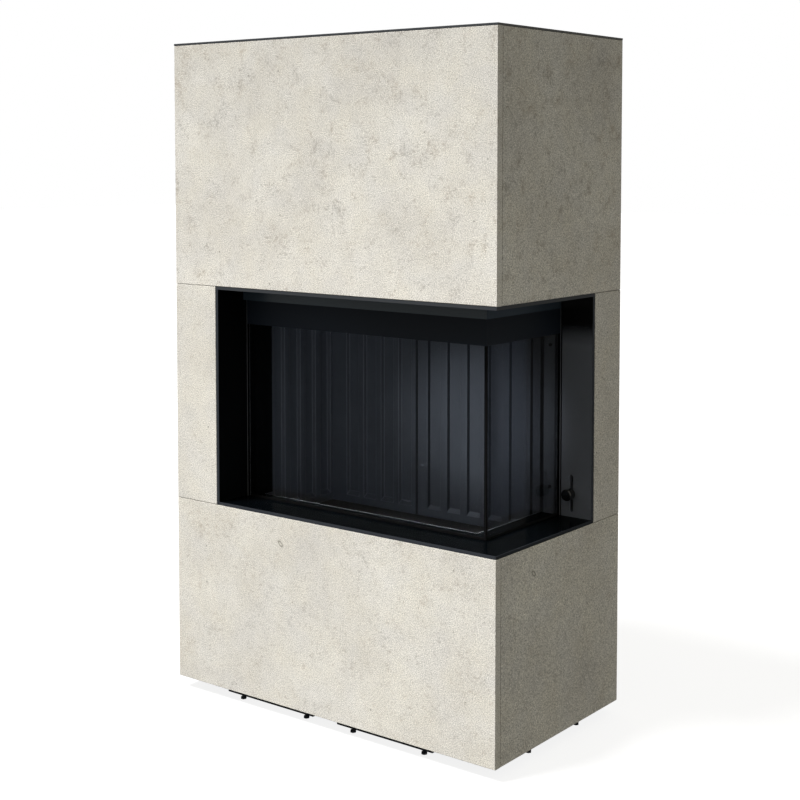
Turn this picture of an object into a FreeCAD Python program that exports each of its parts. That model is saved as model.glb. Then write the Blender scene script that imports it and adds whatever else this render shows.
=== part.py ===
"""Slab-clad corner fireplace with a two-pane lift door, in millimetres.

The origin is on the floor under the middle of the footprint. +Z is up, the wide glazed
front faces -Y and the glazed side faces +X.
"""
import FreeCAD, Part
import math
import os

# Overall size and the cladding slabs
unit_width = 1000.0
unit_depth = 545.0
unit_height = 1680.0
foot_gap = 30.0
slab_thickness = 20.0
slab_joint = 0.6
slab_arris = 1.0
sill_height = 504.0
opening_height = 560.0
left_strip_width = 141.5
rear_strip_width = 122.5

# Lid and back sheet
lid_thickness = 5.0
flue_opening_radius = 110.0
vent_slot_length = 70.0
vent_slot_width = 8.0
vent_slot_pitch = 90.0
lid_slot_inset = 70.0
lid_slot_count = 8
back_sheet = 2.0
back_slot_height = 120.0
back_slot_rise = 250.0
back_slot_pitch = 45.0
back_slot_count = 12

# Carcass of flat-bar hoops and angle posts
hoop_bar = 4.0
hoop_height = 40.0
post_leg = 30.0
post_wall = 3.0
cross_bar_width = 40.0
cross_bar_thickness = 6.0

# Foot rails with levelling bolts
rail_width = 36.0
rail_height = 30.0
rail_wall = 3.0
rail_ground_gap = 16.0
front_rail_length = 288.0
side_rail_length = 308.0
front_rail_places = (-197.0, 168.0)
side_rail_place = 20.0
foot_spacing = 215.0
side_foot_shift = 10.0
bolt_radius = 4.0
hex_flats = 13.0
bolt_head = 5.5
nut_height = 6.5
bolt_end_gap = 2.0
thread_clearance = 0.1

# Recess lining
lip = 8.0
lip_setback = 1.0
front_recess = 100.0
side_recess = 95.0
lintel_drop = 33.0
lintel_sheet = 2.0
lintel_front_gap = 3.0
lintel_side_gap = 1.0

# Lift door
glass = 4.0
glass_sill_gap = 1.0
rail_skin = 2.0
door_rail_height = 62.0
seal_width = 6.0
door_end_gap = 2.0
guide_gap = 10.0
guide_sheet = 1.5
guide_depth = 10.0
guide_wing = 6.5
guide_wall_lap = 3.0
guide_top_gap = 50.0
shoe_height = 60.0
shoe_clearance = 0.3
shoe_depth = 7.0

# Lift cables, pulleys and counterweights
cable_radius = 1.5
cable_end_gap = 0.3
pulley_radius = 36.0
pulley_rim = 5.0
pulley_width = 12.0
pulley_drop = 50.0
groove_clearance = 0.3
axle_radius = 5.0
axle_clearance = 0.05
bracket_sheet = 3.0
bracket_side_gap = 3.0
bracket_width = 30.0
bracket_tail = 12.0
pulley_bar_width = 30.0
pulley_bar_thickness = 5.0
pulley_bar_drop = 10.0
weight_width = 60.0
weight_depth = 40.0
weight_height = 220.0
weight_chamfer = 5.0
weight_hang = 70.0

# Firebox: steel body, linings and hearth
body_wall = 4.0
hearth_drop = 67.0
hearth_plate_thickness = 29.0
ledge_front = 45.0
ledge_right = 55.0
ledge_joint = 7.5
ledge_wall_cover = 4.0
lining_thickness = 25.0
lining_left_inset = 23.5
lining_back_set = 10.0
lining_joint_place = -35.0
lining_joint = 0.6
lining_end_gap = 15.0
lining_height = 577.0
flute_width = 42.0
flute_depth = 11.0
flute_draft = 2.5
flute_pitch_back_right = 63.0
flute_pitch_back_left = 60.0
flute_pitch_left = 62.0
flute_foot = 20.0
flute_top = 25.0
flute_corner_margin = 28.0
jamb_gap = 9.5
jamb_wall = 2.0
jamb_cover = 30.0
header_height = 40.0
header_depth = 7.0
strip_left_gap = 9.0
strip_width = 30.5
strip_wall = 2.5
screw_radius = 4.0
screw_head = 2.5
screw_shank_radius = 2.0
screw_length = 8.0
screw_hole_clearance = 0.2
screw_heights = (67.0, 419.0)
baffle_thickness = 25.0
baffle_front_gap = 110.0
baffle_side_gap = 1.0
dome_height = 330.0
dome_wall = 3.0
dome_top_side = 230.0
flue_radius = 100.0
collar_wall = 3.0
collar_height = 87.0
leg_side = 30.0
leg_wall = 3.0
leg_place_x = 250.0
leg_place_front = -80.0
leg_place_back = 120.0

# Combustion air: box under the hearth, duct and the sliding shutter
air_sheet = 2.0
air_box_width = 240.0
air_box_front = -60.0
air_box_height = 80.0
spigot_radius = 62.5
spigot_length = 60.0
duct_depth = 60.0
duct_wall_gap = 16.0
duct_width = 42.0
duct_left_gap = 13.0
chamber_side_gap = 1.5
chamber_rise = 6.0
chamber_height = 180.0
slot_width = 8.5
slot_length = 92.0
slot_rise = 12.0
slot_side_inset = 58.0
shutter_width = 52.0
shutter_sheet = 3.0
shutter_height = 100.0
shutter_stem_rise = 26.0
shutter_clearance = 0.3
window_width = 38.0
window_height = 14.0
window_pitch = 28.0
window_rise = 22.0
runner_lip = 4.0
runner_sheet = 2.0
stem_radius = 3.5
stem_clearance = 0.1
stem_seat = 12.0
knob_radius = 14.0
knob_length = 23.0
knob_wall_gap = 4.0
knob_chamfer = 2.0
cut = 5.0

V = FreeCAD.Vector
X_AXIS, Y_AXIS, Z_AXIS = V(1, 0, 0), V(0, 1, 0), V(0, 0, 1)
pieces = {}

# Planes that the pieces share
x_right = unit_width / 2
x_left = -x_right
y_back = unit_depth / 2
y_front = -y_back
z_sill = sill_height
z_head = sill_height + opening_height
z_lid = unit_height - lid_thickness
x_inner = x_right - slab_thickness
y_inner = y_front + slab_thickness
y_sheet = y_back - back_sheet
x_opening = x_left + left_strip_width
y_opening = y_back - rear_strip_width
x_wall = x_opening + lip
y_wall = y_opening - lip
z_shelf = z_sill + lip
z_ceiling = z_head - lip
y_glass = y_front + front_recess
x_glass = x_right - side_recess
z_rail = z_ceiling - lintel_drop


def box(x0, x1, y0, y1, z0, z1):
    """A plain block between six planes."""
    return Part.makeBox(x1 - x0, y1 - y0, z1 - z0, V(x0, y0, z0))


def prism(points, z0, z1):
    """A plan outline carried up from z0 to z1."""
    corners = [V(x, y, z0) for x, y in points]
    return Part.Face(Part.makePolygon(corners + corners[:1])).extrude(V(0, 0, z1 - z0))


def side_prism(points, y0, y1):
    """An outline in the XZ plane carried back from y0 to y1."""
    corners = [V(x, y0, z) for x, z in points]
    return Part.Face(Part.makePolygon(corners + corners[:1])).extrude(V(0, y1 - y0, 0))


def corner_run(x0, y0, x1, y1, thickness):
    """Plan outline of a strip along the front from x0, round the right corner and back to y1."""
    return [
        (x0, y0), (x1, y0), (x1, y1),
        (x1 - thickness, y1), (x1 - thickness, y0 + thickness), (x0, y0 + thickness),
    ]


def rod(radius, length, place, axis):
    return Part.makeCylinder(radius, length, place, axis)


def hexagon(flats, height, place):
    """A hexagonal head or nut blank that stands on place."""
    reach = flats / math.sqrt(3)
    corners = []
    for step in range(6):
        turn = math.radians(60 * step)
        corners.append(place + V(reach * math.cos(turn), reach * math.sin(turn), 0))
    return Part.Face(Part.makePolygon(corners + corners[:1])).extrude(V(0, 0, height))


# Cladding: three tiers of slabs, the front ones lapping the side ones at the corners
def slab(x0, x1, y0, y1, z0, z1, outer_axis, outer_plane):
    """A slab whose arris is broken along the edges of its outer face."""
    block = box(x0, x1, y0, y1, z0, z1)
    outer = [
        edge for edge in block.Edges
        if all(abs(v.Point.dot(outer_axis) - outer_plane) < slab_arris for v in edge.Vertexes)
    ]
    return block.makeChamfer(slab_arris, outer)


tiers = {
    "upper": (z_head, z_lid),
    "middle": (z_sill + slab_joint, z_head - slab_joint),
    "lower": (foot_gap, z_sill),
}
for tier, (z0, z1) in tiers.items():
    front_end = x_opening if tier == "middle" else x_right
    right_start = y_opening if tier == "middle" else y_inner + slab_joint
    pieces["slab_" + tier + "_front"] = slab(
        x_left, front_end, y_front, y_inner, z0, z1, Y_AXIS, y_front)
    pieces["slab_" + tier + "_right"] = slab(
        x_inner, x_right, right_start, y_back, z0, z1, X_AXIS, x_right)
    pieces["slab_" + tier + "_left"] = slab(
        x_left, -x_inner, y_inner + slab_joint, y_back, z0, z1, X_AXIS, x_left)

# Firebox planes, needed by the lid and the carcass as well
x_lining = x_wall + lining_left_inset
y_lining = y_wall + lining_back_set
x_body = x_lining - lining_thickness
y_body = y_lining + lining_thickness
y_ledge = y_glass + ledge_front
x_ledge = x_glass - ledge_right
y_ledge_joint = y_glass + ledge_joint
x_ledge_joint = x_glass - ledge_joint
y_jamb = y_glass + glass + rail_skin + jamb_gap
x_jamb = x_glass - glass - rail_skin - ledge_joint
z_hearth = z_shelf - hearth_drop
z_floor = z_hearth - hearth_plate_thickness
z_body = z_floor - body_wall
z_lining = z_hearth + lining_height
z_dome = z_lining + baffle_thickness + body_wall
x_tub = x_ledge + ledge_wall_cover
y_tub = y_ledge - ledge_wall_cover
flue_x = (x_body + x_jamb) / 2
flue_y = (y_jamb + y_body) / 2

# Lid: steel plate with the flue opening and two rows of hot-air slots
lid = box(x_left, x_right, y_front, y_back, z_lid, unit_height)
lid = lid.cut(rod(flue_opening_radius, lid_thickness + cut + cut, V(flue_x, flue_y, z_lid - cut), Z_AXIS))
first_slot = -vent_slot_pitch * (lid_slot_count - 1) / 2 - vent_slot_length / 2
for row in (y_front + lid_slot_inset, y_back - lid_slot_inset):
    for step in range(lid_slot_count):
        x0 = first_slot + vent_slot_pitch * step
        half = vent_slot_width / 2
        lid = lid.cut(box(x0, x0 + vent_slot_length, row - half, row + half, z_lid - cut, unit_height + cut))
pieces["top_plate"] = lid

# Back sheet: closes the rear between the side slabs, with upright air slots low down
sheet = box(-x_inner, x_inner, y_sheet, y_back, foot_gap, z_lid)
first_slot = -back_slot_pitch * (back_slot_count - 1) / 2 - vent_slot_width / 2
for step in range(back_slot_count):
    x0 = first_slot + back_slot_pitch * step
    sheet = sheet.cut(box(
        x0, x0 + vent_slot_width, y_sheet - cut, y_back + cut, back_slot_rise, back_slot_rise + back_slot_height))
pieces["back_panel"] = sheet

# Carcass: four hoops that the slabs are bonded to, with angle posts inside them
z_base = rail_ground_gap + rail_height


def hoop(z0):
    outer = box(-x_inner, x_inner, y_inner, y_sheet, z0, z0 + hoop_height)
    inner = box(
        hoop_bar - x_inner, x_inner - hoop_bar, y_inner + hoop_bar, y_sheet - hoop_bar,
        z0 - cut, z0 + hoop_height + cut)
    return outer.cut(inner)


base_hoop = hoop(z_base)
for place in (leg_place_front, leg_place_back):
    base_hoop = base_hoop.fuse(box(
        hoop_bar - x_inner, x_inner - hoop_bar, place - cross_bar_width / 2, place + cross_bar_width / 2,
        z_base, z_base + cross_bar_thickness))
pieces["base_hoop"] = base_hoop
pieces["sill_hoop"] = hoop(z_sill - hoop_height)
pieces["lintel_hoop"] = hoop(z_head)

# The door's two end planes place the guides, cables and pulleys
y_glass_mid = y_glass + glass / 2
x_glass_mid = x_glass - glass / 2
x_cable = x_wall + door_end_gap + shoe_depth / 2
y_guide = y_opening
y_cable = y_guide + guide_sheet - door_end_gap - shoe_depth / 2
x_pulley = x_cable - pulley_radius
y_pulley = y_cable + pulley_radius
z_pulley_bar = z_lid - pulley_bar_drop - pulley_bar_thickness
pulley_height = z_pulley_bar - pulley_drop
z_guide_top = pulley_height - guide_top_gap

top_hoop = hoop(z_lid - hoop_height)
half_bar = pulley_bar_width / 2
top_hoop = top_hoop.fuse(box(
    hoop_bar - x_inner, x_inner - hoop_bar, y_glass_mid - half_bar, y_glass_mid + half_bar,
    z_pulley_bar, z_pulley_bar + pulley_bar_thickness))
top_hoop = top_hoop.fuse(box(
    x_glass_mid - half_bar, x_glass_mid + half_bar, y_glass_mid + half_bar, y_sheet - hoop_bar,
    z_pulley_bar, z_pulley_bar + pulley_bar_thickness))
pieces["top_hoop"] = top_hoop.removeSplitter()


def post(x, y, towards_x, towards_y, z0, z1):
    """An angle whose two legs lie against the inside of the hoops at a corner."""
    outline = [
        (x, y), (x + towards_x * post_leg, y), (x + towards_x * post_leg, y + towards_y * post_wall),
        (x + towards_x * post_wall, y + towards_y * post_wall),
        (x + towards_x * post_wall, y + towards_y * post_leg), (x, y + towards_y * post_leg),
    ]
    return prism(outline, z0, z1)


x_post = x_inner - hoop_bar
y_post_front = y_inner + hoop_bar
y_post_back = y_sheet - hoop_bar
pieces["carcass_posts"] = Part.makeCompound([
    post(-x_post, y_post_front, 1, 1, z_base, z_lid),
    post(-x_post, y_post_back, 1, -1, z_base, z_lid),
    post(x_post, y_post_back, -1, -1, z_base, z_lid),
    post(x_post, y_post_front, -1, 1, z_base, z_sill),
    post(x_post, y_post_front, -1, 1, z_head, z_lid),
])

# Foot rails: channels under the base hoop, each on two hexagon bolts locked by a nut
rails, bolts, nuts = [], [], []


def foot_rail(x, y, length, along_x, shift):
    """A channel with its web down, bored for two levelling bolts, at the middle (x, y)."""
    half_length, half_width = length / 2, rail_width / 2
    z0, z1 = rail_ground_gap, z_base
    if along_x:
        outer = box(x - half_length, x + half_length, y - half_width, y + half_width, z0, z1)
        hollow = box(
            x - half_length - cut, x + half_length + cut, y - half_width + rail_wall,
            y + half_width - rail_wall, z0 + rail_wall, z1 + cut)
    else:
        outer = box(x - half_width, x + half_width, y - half_length, y + half_length, z0, z1)
        hollow = box(
            x - half_width + rail_wall, x + half_width - rail_wall, y - half_length - cut,
            y + half_length + cut, z0 + rail_wall, z1 + cut)
    rail = outer.cut(hollow)
    for side in (-1, 1):
        step = shift + side * foot_spacing / 2
        place = V(x + step, y, 0) if along_x else V(x, y + step, 0)
        web = place + V(0, 0, z0)
        rail = rail.cut(rod(bolt_radius + thread_clearance, rail_wall + cut + cut, web - V(0, 0, cut), Z_AXIS))
        shank = rod(bolt_radius, z1 - bolt_head - bolt_end_gap, place + V(0, 0, bolt_head), Z_AXIS)
        bolts.append(hexagon(hex_flats, bolt_head, place).fuse(shank))
        nut = hexagon(hex_flats, nut_height, web + V(0, 0, rail_wall))
        bore = rod(bolt_radius + thread_clearance, nut_height + cut + cut, web, Z_AXIS)
        nuts.append(nut.cut(bore))
    rails.append(rail)


y_rail_front = y_inner + rail_width / 2
y_rail_back = y_sheet - rail_width / 2
x_rail = x_inner - rail_width / 2
for place in front_rail_places:
    foot_rail(place, y_rail_front, front_rail_length, True, 0)
    foot_rail(place, y_rail_back, front_rail_length, True, 0)
for side in (-1, 1):
    foot_rail(side * x_rail, side_rail_place, side_rail_length, False, side_foot_shift)
pieces["foot_rails"] = Part.makeCompound(rails)
pieces["levelling_feet"] = Part.makeCompound(bolts)
pieces["lock_nuts"] = Part.makeCompound(nuts)

# Recess lining: plates as thick as the lip they show round the opening
x_lip = x_right - lip_setback
y_lip = y_front + lip_setback
pieces["reveal_shelf"] = prism([
    (x_opening, y_lip), (x_lip, y_lip), (x_lip, y_opening), (x_ledge_joint, y_opening),
    (x_ledge_joint, y_ledge_joint), (x_opening, y_ledge_joint),
], z_sill, z_shelf)
y_lintel_back = y_glass - rail_skin - lintel_front_gap
y_lintel = y_lintel_back - lintel_sheet
x_lintel = x_glass + rail_skin + lintel_side_gap + lintel_sheet
pieces["reveal_ceiling"] = prism([
    (x_opening, y_lip), (x_lip, y_lip), (x_lip, y_opening), (x_lintel, y_opening),
    (x_lintel, y_lintel), (x_opening, y_lintel),
], z_ceiling, z_head)
half_guide = guide_gap / 2 + guide_sheet + guide_wing
y_guide_end = y_guide - guide_depth + guide_sheet
pieces["lintel_mask"] = prism(
    corner_run(x_wall, y_lintel, x_lintel, y_guide_end - door_end_gap, lintel_sheet), z_rail, z_head)
y_left_wall_end = y_glass_mid + half_guide
pieces["reveal_left_wall"] = box(x_opening, x_wall, y_lip, y_left_wall_end, z_shelf, z_ceiling)

x_slot = x_right - slot_side_inset
x_rear_wall = x_glass_mid + half_guide - guide_wall_lap
rear_wall = box(x_rear_wall, x_lip, y_wall, y_opening, z_shelf, z_ceiling)
z_slot = z_shelf + slot_rise
slot_end = slot_width / 2
slot = box(
    x_slot - slot_end, x_slot + slot_end, y_wall - cut, y_opening + cut,
    z_slot + slot_end, z_slot + slot_length - slot_end)
for z_end in (z_slot + slot_end, z_slot + slot_length - slot_end):
    slot = slot.fuse(rod(slot_end, lip + cut + cut, V(x_slot, y_wall - cut, z_end), Y_AXIS))
pieces["reveal_rear_wall"] = rear_wall.cut(slot)

# Lift door: two panes with a black corner joint, hung from a folded rail
z_rail_low = z_rail - door_rail_height
z_pane = z_shelf + glass_sill_gap
z_pane_top = z_rail - rail_skin
x_door_end = x_wall + guide_sheet + door_end_gap
y_door_end = y_guide - door_end_gap
rail_outer = prism(corner_run(
    x_door_end, y_glass - rail_skin, x_glass + rail_skin, y_door_end,
    glass + rail_skin + rail_skin), z_rail_low, z_rail)
rail_slot = prism(corner_run(
    x_door_end - cut, y_glass, x_glass, y_door_end + cut, glass), z_rail_low - cut, z_pane_top)
pieces["door_top_rail"] = rail_outer.cut(rail_slot)
x_seal = x_glass - seal_width
y_seal = y_glass + seal_width
pieces["front_glass"] = box(x_door_end, x_seal, y_glass, y_glass + glass, z_pane, z_pane_top)
pieces["side_glass"] = box(x_glass - glass, x_glass, y_seal, y_door_end, z_pane, z_pane_top)
pieces["corner_seal"] = prism(corner_run(x_seal, y_glass, x_glass, y_seal, glass), z_pane, z_pane_top)
half_shoe = guide_gap / 2 - shoe_clearance
pieces["left_shoe"] = box(
    x_cable - shoe_depth / 2, x_cable + shoe_depth / 2, y_glass_mid - half_shoe, y_glass_mid + half_shoe,
    z_rail, z_rail + shoe_height)
pieces["rear_shoe"] = box(
    x_glass_mid - half_shoe, x_glass_mid + half_shoe, y_cable - shoe_depth / 2, y_cable + shoe_depth / 2,
    z_rail, z_rail + shoe_height)

# Guides: channels that take the glass edges and the shoes, screwed on by a wing on one side
half_gap = guide_gap / 2
flange = half_gap + guide_sheet
wing = flange + guide_wing
guide_outline = [
    (0, -flange), (guide_depth, -flange), (guide_depth, -half_gap), (guide_sheet, -half_gap),
    (guide_sheet, half_gap), (guide_depth, half_gap), (guide_depth, flange),
    (guide_sheet, flange), (guide_sheet, wing), (0, wing),
]
pieces["left_guide"] = prism(
    [(x_wall + depth, y_glass_mid + across) for depth, across in guide_outline], z_shelf, z_guide_top)
pieces["rear_guide"] = prism(
    [(x_glass_mid + across, y_guide + guide_sheet - depth) for depth, across in guide_outline],
    z_shelf, z_guide_top)

# Pulleys: grooved wheels on fixed axles, in brackets under the two pulley bars
half_pulley = pulley_width / 2
groove_floor = pulley_radius - cable_radius - groove_clearance
groove_half = cable_radius + groove_clearance
rim = pulley_radius + pulley_rim
wheel_outline = [
    V(axle_radius + axle_clearance, 0, -half_pulley), V(rim, 0, -half_pulley), V(groove_floor, 0, -groove_half),
    V(groove_floor, 0, groove_half), V(rim, 0, half_pulley), V(axle_radius + axle_clearance, 0, half_pulley),
]
wheel = Part.Face(Part.makePolygon(wheel_outline + wheel_outline[:1])).revolve(V(0, 0, 0), Z_AXIS, 360)
half_bracket = half_pulley + bracket_side_gap
axle_half = half_bracket + bracket_sheet + bracket_side_gap
bracket_low = pulley_height - bracket_tail
bracket = box(
    -bracket_width / 2, bracket_width / 2, -half_bracket - bracket_sheet, half_bracket + bracket_sheet,
    bracket_low, z_pulley_bar)
bracket = bracket.cut(box(
    -bracket_width, bracket_width, -half_bracket, half_bracket, bracket_low - cut, z_pulley_bar - bracket_sheet))
bracket = bracket.cut(rod(
    axle_radius + axle_clearance, axle_half + axle_half, V(0, -axle_half, pulley_height), Y_AXIS))
axle = rod(axle_radius, axle_half + axle_half, V(0, -axle_half, pulley_height), Y_AXIS)
wheel.rotate(V(0, 0, 0), X_AXIS, 90)
wheel.translate(V(0, 0, pulley_height))


def on_left(shape):
    placed = shape.copy()
    placed.translate(V(x_pulley, y_glass_mid, 0))
    return placed


def on_rear(shape):
    placed = shape.copy()
    placed.rotate(V(0, 0, 0), Z_AXIS, 90)
    placed.translate(V(x_glass_mid, y_pulley, 0))
    return placed


pieces["left_pulley"] = on_left(wheel)
pieces["rear_pulley"] = on_rear(wheel)
pieces["pulley_axles"] = Part.makeCompound([on_left(axle), on_rear(axle)])
pieces["pulley_brackets"] = Part.makeCompound([on_left(bracket), on_rear(bracket)])

# Counterweights and the cables that run from the door's shoes over the pulleys
z_weight = pulley_height - weight_hang
weight = box(
    -weight_depth / 2, weight_depth / 2, -weight_width / 2, weight_width / 2, z_weight - weight_height, z_weight)
upright = [
    edge for edge in weight.Edges
    if abs(edge.Vertexes[0].Z - edge.Vertexes[1].Z) > weight_chamfer
]
weight = weight.makeChamfer(weight_chamfer, upright)
weight.translate(V(-pulley_radius, 0, 0))
door_end = V(pulley_radius, 0, z_rail + shoe_height + cable_end_gap)
weight_end = V(-pulley_radius, 0, z_weight + cable_end_gap)
rise = V(pulley_radius, 0, pulley_height)
fall = V(-pulley_radius, 0, pulley_height)
path = Part.Wire([
    Part.LineSegment(door_end, rise).toShape(),
    Part.Arc(rise, V(0, 0, pulley_height + pulley_radius), fall).toShape(),
    Part.LineSegment(fall, weight_end).toShape(),
])
section = Part.Wire([Part.Circle(door_end, Z_AXIS, cable_radius).toShape()])
cable = path.makePipeShell([section], True, False)
pieces["left_cable"] = on_left(cable)
pieces["left_counterweight"] = on_left(weight)
turned = [shape.copy() for shape in (cable, weight)]
for shape in turned:
    shape.rotate(V(0, 0, 0), Z_AXIS, 180)
pieces["rear_cable"] = on_rear(turned[0])
pieces["rear_counterweight"] = on_rear(turned[1])

# Firebox body: a welded tub for the hearth with the left and back walls standing on it
tub = box(x_body - body_wall, x_tub + body_wall, y_tub - body_wall, y_body + body_wall, z_body, z_sill)
tub = tub.cut(box(x_body, x_tub, y_tub, y_body, z_floor, z_sill + cut))
y_body_front = y_jamb + header_depth
walls = prism([
    (x_body - body_wall, y_body_front), (x_body, y_body_front), (x_body, y_body), (x_jamb, y_body),
    (x_jamb, y_body + body_wall), (x_body - body_wall, y_body + body_wall),
], z_sill, z_dome)
pieces["firebox_body"] = tub.fuse(walls).removeSplitter()
pieces["hearth_plate"] = box(
    x_body + lining_joint, x_tub - lining_joint, y_tub + lining_joint, y_body - lining_joint, z_floor, z_hearth)
pieces["hearth_frame"] = prism([
    (x_body, y_ledge_joint), (x_ledge_joint, y_ledge_joint), (x_ledge_joint, y_wall), (x_ledge, y_wall),
    (x_ledge, y_ledge), (x_body, y_ledge),
], z_sill, z_shelf)


# Fluted linings: cast plates with upright recesses that run out on a sloping foot
def fluted(width, visible, pitch):
    """A plate in the XZ plane, face at y zero, with flutes centred on the last, visible stretch."""
    plate = box(0, width, 0, lining_thickness, z_hearth, z_lining)
    count = int(visible // pitch)
    first_middle = width - (visible + pitch * (count - 1)) / 2
    for step in range(count):
        middle = first_middle + pitch * step
        half = flute_width / 2
        z0, z1 = z_hearth + flute_foot, z_lining - flute_top
        mouth = [
            V(middle - half, 0, z0), V(middle + half, 0, z0), V(middle + half, 0, z1), V(middle - half, 0, z1)]
        bed = [
            V(middle - half + flute_draft, flute_depth, z0 + flute_depth),
            V(middle + half - flute_draft, flute_depth, z0 + flute_depth),
            V(middle + half - flute_draft, flute_depth, z1 - flute_depth),
            V(middle - half + flute_draft, flute_depth, z1 - flute_depth)]
        rings = [Part.makePolygon(ring + ring[:1]) for ring in (mouth, bed)]
        plate = plate.cut(Part.makeLoft(rings, True, True))
    return plate


x_strip = x_ledge + strip_left_gap
x_strip_end = x_strip + strip_width
right_width = x_strip_end - strip_wall - lining_joint - lining_joint_place
right_panel = fluted(right_width, right_width, flute_pitch_back_right)
right_panel.translate(V(lining_joint_place, y_lining, 0))
right_panel = right_panel.cut(box(
    x_ledge - lining_end_gap, x_strip_end, y_lining - cut, y_body + cut, z_hearth - cut, z_lining + cut))
pieces["back_lining_right"] = right_panel
left_width = lining_joint_place - lining_joint - x_body - lining_joint
left_panel = fluted(left_width, lining_joint_place - x_lining - flute_corner_margin, flute_pitch_back_left)
left_panel.translate(V(x_body + lining_joint, y_lining, 0))
pieces["back_lining_left"] = left_panel
side_width = y_lining - lining_joint - y_ledge
side_panel = fluted(side_width, side_width - jamb_cover, flute_pitch_left)
side_panel.rotate(V(0, 0, 0), Z_AXIS, 90)
side_panel.translate(V(x_lining, y_ledge, 0))
pieces["left_lining"] = side_panel
pieces["baffle_plate"] = box(
    x_body + baffle_side_gap, x_jamb - header_depth - baffle_side_gap, y_jamb + baffle_front_gap,
    y_body - baffle_side_gap, z_lining, z_lining + baffle_thickness)

# Door frame of the firebox: left jamb, header over the door and the screwed strip at the rear
jamb_back = y_ledge - lining_joint
pieces["left_jamb"] = prism([
    (x_body, y_jamb), (x_lining + jamb_wall, y_jamb), (x_lining + jamb_wall, y_ledge + jamb_cover),
    (x_lining, y_ledge + jamb_cover), (x_lining, jamb_back), (x_body, jamb_back),
    (x_body, jamb_back - jamb_wall), (x_lining, jamb_back - jamb_wall),
    (x_lining, y_jamb + jamb_wall), (x_body, y_jamb + jamb_wall),
], z_shelf, z_dome - header_height)
pieces["firebox_header"] = prism(
    corner_run(x_body, y_jamb, x_jamb, y_wall, header_depth), z_dome - header_height, z_dome)
strip = prism([
    (x_strip, y_wall), (x_strip_end, y_wall), (x_strip_end, y_body), (x_strip_end - strip_wall, y_body),
    (x_strip_end - strip_wall, y_wall + strip_wall), (x_strip, y_wall + strip_wall),
], z_shelf, z_dome - header_height)
x_screw = x_strip + (strip_width - strip_wall) * 2 / 3
screws = []
for height in screw_heights:
    seat = V(x_screw, y_wall, z_shelf + height)
    hole = rod(screw_shank_radius + screw_hole_clearance, strip_wall + cut + cut, seat - V(0, cut, 0), Y_AXIS)
    strip = strip.cut(hole)
    head = rod(screw_radius, screw_head, seat - V(0, screw_head, 0), Y_AXIS)
    screws.append(head.fuse(rod(screw_shank_radius, screw_length, seat, Y_AXIS)))
pieces["jamb_strip"] = strip
pieces["jamb_screws"] = Part.makeCompound(screws)

# Smoke dome: a folded hood that narrows to the flue collar
def ring(x0, x1, y0, y1, z):
    return [V(x0, y0, z), V(x1, y0, z), V(x1, y1, z), V(x0, y1, z)]


def hood(low, high):
    """A solid of flat faces between two level rings of four corners."""
    outlines = [low, high]
    for step in range(len(low)):
        outlines.append([low[step - 1], low[step], high[step], high[step - 1]])
    faces = [Part.Face(Part.makePolygon(corners + corners[:1])) for corners in outlines]
    return Part.Solid(Part.Shell(faces))


half_top = dome_top_side / 2
z_dome_top = z_dome + dome_height
dome = hood(
    ring(x_body - body_wall, x_jamb, y_jamb, y_body + body_wall, z_dome),
    ring(flue_x - half_top, flue_x + half_top, flue_y - half_top, flue_y + half_top, z_dome_top))
inner_top = half_top - dome_wall
dome = dome.cut(hood(
    ring(x_body - body_wall + dome_wall, x_jamb - dome_wall, y_jamb + dome_wall,
         y_body + body_wall - dome_wall, z_dome),
    ring(flue_x - inner_top, flue_x + inner_top, flue_y - inner_top, flue_y + inner_top,
         z_dome_top - dome_wall)))
dome = dome.cut(rod(flue_radius, dome_wall + cut + cut, V(flue_x, flue_y, z_dome_top - dome_wall - cut), Z_AXIS))
pieces["smoke_dome"] = dome
collar = rod(flue_radius + collar_wall, collar_height, V(flue_x, flue_y, z_dome_top), Z_AXIS)
pieces["flue_collar"] = collar.cut(rod(
    flue_radius, collar_height + cut + cut, V(flue_x, flue_y, z_dome_top - cut), Z_AXIS))

# Legs: square tubes between the base hoop's cross bars and the tub
legs = []
half_leg = leg_side / 2
for x in (-leg_place_x, leg_place_x):
    for y in (leg_place_front, leg_place_back):
        z0, z1 = z_base + cross_bar_thickness, z_body
        tube = box(x - half_leg, x + half_leg, y - half_leg, y + half_leg, z0, z1)
        bore = half_leg - leg_wall
        legs.append(tube.cut(box(x - bore, x + bore, y - bore, y + bore, z0 - cut, z1 + cut)))
pieces["insert_legs"] = Part.makeCompound(legs)

# Air box: sheet-metal box under the tub with a spigot for the outside-air hose
y_duct = y_opening + duct_wall_gap
y_duct_back = y_duct + duct_depth
x_box = air_box_width / 2
z_box = z_body - air_box_height
y_spigot = (leg_place_front + leg_place_back) / 2
air_box = box(-x_box, x_box, air_box_front, y_duct_back, z_box, z_body)
air_box = air_box.fuse(rod(spigot_radius, spigot_length, V(0, y_spigot, z_box - spigot_length), Z_AXIS))
air_box = air_box.cut(box(
    air_sheet - x_box, x_box - air_sheet, air_box_front + air_sheet, y_duct_back - air_sheet,
    z_box + air_sheet, z_body - air_sheet))
air_box = air_box.cut(rod(
    spigot_radius - air_sheet, spigot_length + air_sheet + cut, V(0, y_spigot, z_box - spigot_length - cut), Z_AXIS))

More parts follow.
